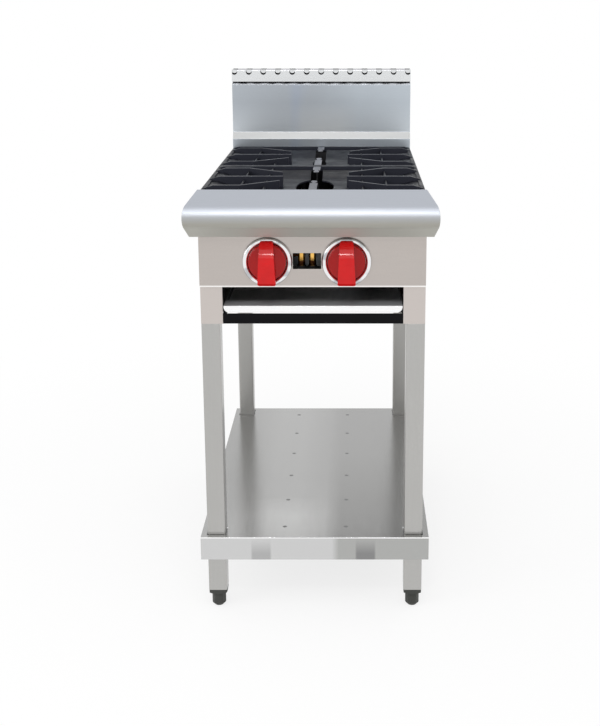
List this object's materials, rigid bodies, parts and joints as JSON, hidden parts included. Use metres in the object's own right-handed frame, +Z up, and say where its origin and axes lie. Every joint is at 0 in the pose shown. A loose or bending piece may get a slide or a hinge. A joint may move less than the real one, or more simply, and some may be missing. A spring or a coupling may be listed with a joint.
{
  "type": "gas boiling top",
  "caption": "Gas boiling top with cast grates in line, bar knobs, a drip tray and a flue riser on an open leg stand with an undershelf.",
  "frame": {"origin": "floor level, under the middle of the whole object's box", "axes": "+Z up, +Y from the cook towards the flue riser, +X to the cook's right"},
  "size_m": [0.4934, 0.848, 1.09],
  "materials": {
    "leg_steel": "satin stainless steel tube, grain along the leg",
    "dark_steel": "dark painted steel",
    "zinc_steel": "zinc-plated steel",
    "grey_plastic": "dark grey nylon",
    "shelf_steel": "satin stainless steel sheet",
    "body_steel": "satin stainless steel sheet",
    "bright_steel": "finely brushed stainless steel sheet",
    "tray_steel": "polished stainless steel sheet",
    "panel_steel": "satin stainless steel sheet, slightly warm in tone",
    "ledge_steel": "satin stainless steel sheet, smooth",
    "gas_pipe": "black steel gas pipe",
    "brass": "machined brass",
    "burner_iron": "cast iron",
    "strip_steel": "aluminised steel strip",
    "copper": "copper tube",
    "red_knob": "glossy red moulded plastic",
    "bezel_chrome": "polished chrome",
    "grate_iron": "black matt enamelled cast iron"
  },
  "bodies": {
    "stand": {"leg_front_left": "leg_steel", "leg_front_right": "leg_steel", "leg_back_left": "leg_steel", "leg_back_right": "leg_steel", "leg_sockets": "dark_steel", "leg_bolts": "zinc_steel", "leg_inserts": "grey_plastic", "undershelf": "shelf_steel", "shelf_stiffener": "zinc_steel", "shelf_clips": "zinc_steel", "base_frame": "dark_steel", "body_side_left": "panel_steel", "body_side_right": "panel_steel", "body_back": "body_steel", "body_screws": "zinc_steel", "rail_front": "dark_steel", "rail_middle": "dark_steel", "rail_rear": "dark_steel", "control_panel": "panel_steel", "front_ledge": "ledge_steel", "ledge_end_left": "ledge_steel", "ledge_end_right": "ledge_steel", "riser_front": "body_steel", "riser_shell": "body_steel", "riser_cap": "bright_steel", "manifold_pipe": "gas_pipe", "gas_inlet_pipe": "gas_pipe", "gas_tap_left": "brass", "gas_tap_right": "brass", "injector_left": "brass", "injector_right": "brass", "burner_front": "burner_iron", "burner_rear": "burner_iron", "burner_carrier": "strip_steel", "pilot_valve_left": "brass", "pilot_valve_right": "brass", "pilot_tube_front": "copper", "pilot_tube_rear": "copper", "pilot_burner_front": "burner_iron", "pilot_burner_rear": "burner_iron", "bezel_left": "bezel_chrome", "bezel_right": "bezel_chrome", "tray_runner_left": "zinc_steel", "tray_runner_right": "zinc_steel"},
    "knob_left": {"knob_left": "red_knob", "tap_stem_left": "brass"},
    "knob_right": {"knob_right": "red_knob", "tap_stem_right": "brass"},
    "pilot_screw_left": {"pilot_screw_left": "brass"},
    "pilot_screw_right": {"pilot_screw_right": "brass"},
    "tray": {"drip_tray": "tray_steel", "tray_front": "tray_steel"},
    "grate_front": {"grate_front": "grate_iron"},
    "grate_rear": {"grate_rear": "grate_iron"},
    "burner_cap_front": {"burner_cap_front": "burner_iron"},
    "burner_cap_rear": {"burner_cap_rear": "burner_iron"},
    "foot_front_left": {"foot_front_left": "grey_plastic"},
    "foot_front_right": {"foot_front_right": "grey_plastic"},
    "foot_back_left": {"foot_back_left": "grey_plastic"},
    "foot_back_right": {"foot_back_right": "grey_plastic"}
  },
  "joints": [
    {"name": "knob_left_turn", "type": "hinge", "parent": "stand", "child": "knob_left", "pos_m": [-0.0895, -0.359, 0.757], "axis": [0, -1, 0], "range_deg": [0, 90]},
    {"name": "knob_right_turn", "type": "hinge", "parent": "stand", "child": "knob_right", "pos_m": [0.0675, -0.359, 0.757], "axis": [0, -1, 0], "range_deg": [0, 90]},
    {"name": "pilot_screw_left_turn", "type": "hinge", "parent": "stand", "child": "pilot_screw_left", "pos_m": [-0.024, -0.307, 0.764], "axis": [0, 0, 1], "range_deg": [0, 360]},
    {"name": "pilot_screw_right_turn", "type": "hinge", "parent": "stand", "child": "pilot_screw_right", "pos_m": [-0.002, -0.307, 0.764], "axis": [0, 0, 1], "range_deg": [0, 360]},
    {"name": "tray_slide", "type": "slide", "parent": "stand", "child": "tray", "axis": [0, -1, 0], "range_m": [0, 0.56]},
    {"name": "grate_front_lift", "type": "slide", "parent": "stand", "child": "grate_front", "axis": [0, 0, 1], "range_m": [0, 0.2]},
    {"name": "grate_rear_lift", "type": "slide", "parent": "stand", "child": "grate_rear", "axis": [0, 0, 1], "range_m": [0, 0.2]},
    {"name": "burner_cap_front_lift", "type": "slide", "parent": "stand", "child": "burner_cap_front", "axis": [0, 0, 1], "range_m": [0, 0.15]},
    {"name": "burner_cap_rear_lift", "type": "slide", "parent": "stand", "child": "burner_cap_rear", "axis": [0, 0, 1], "range_m": [0, 0.02]},
    {"name": "foot_front_left_level", "type": "slide", "parent": "stand", "child": "foot_front_left", "axis": [0, 0, -1], "range_m": [0, 0.025]},
    {"name": "foot_front_right_level", "type": "slide", "parent": "stand", "child": "foot_front_right", "axis": [0, 0, -1], "range_m": [0, 0.025]},
    {"name": "foot_back_left_level", "type": "slide", "parent": "stand", "child": "foot_back_left", "axis": [0, 0, -1], "range_m": [0, 0.025]},
    {"name": "foot_back_right_level", "type": "slide", "parent": "stand", "child": "foot_back_right", "axis": [0, 0, -1], "range_m": [0, 0.025]}
  ]
}
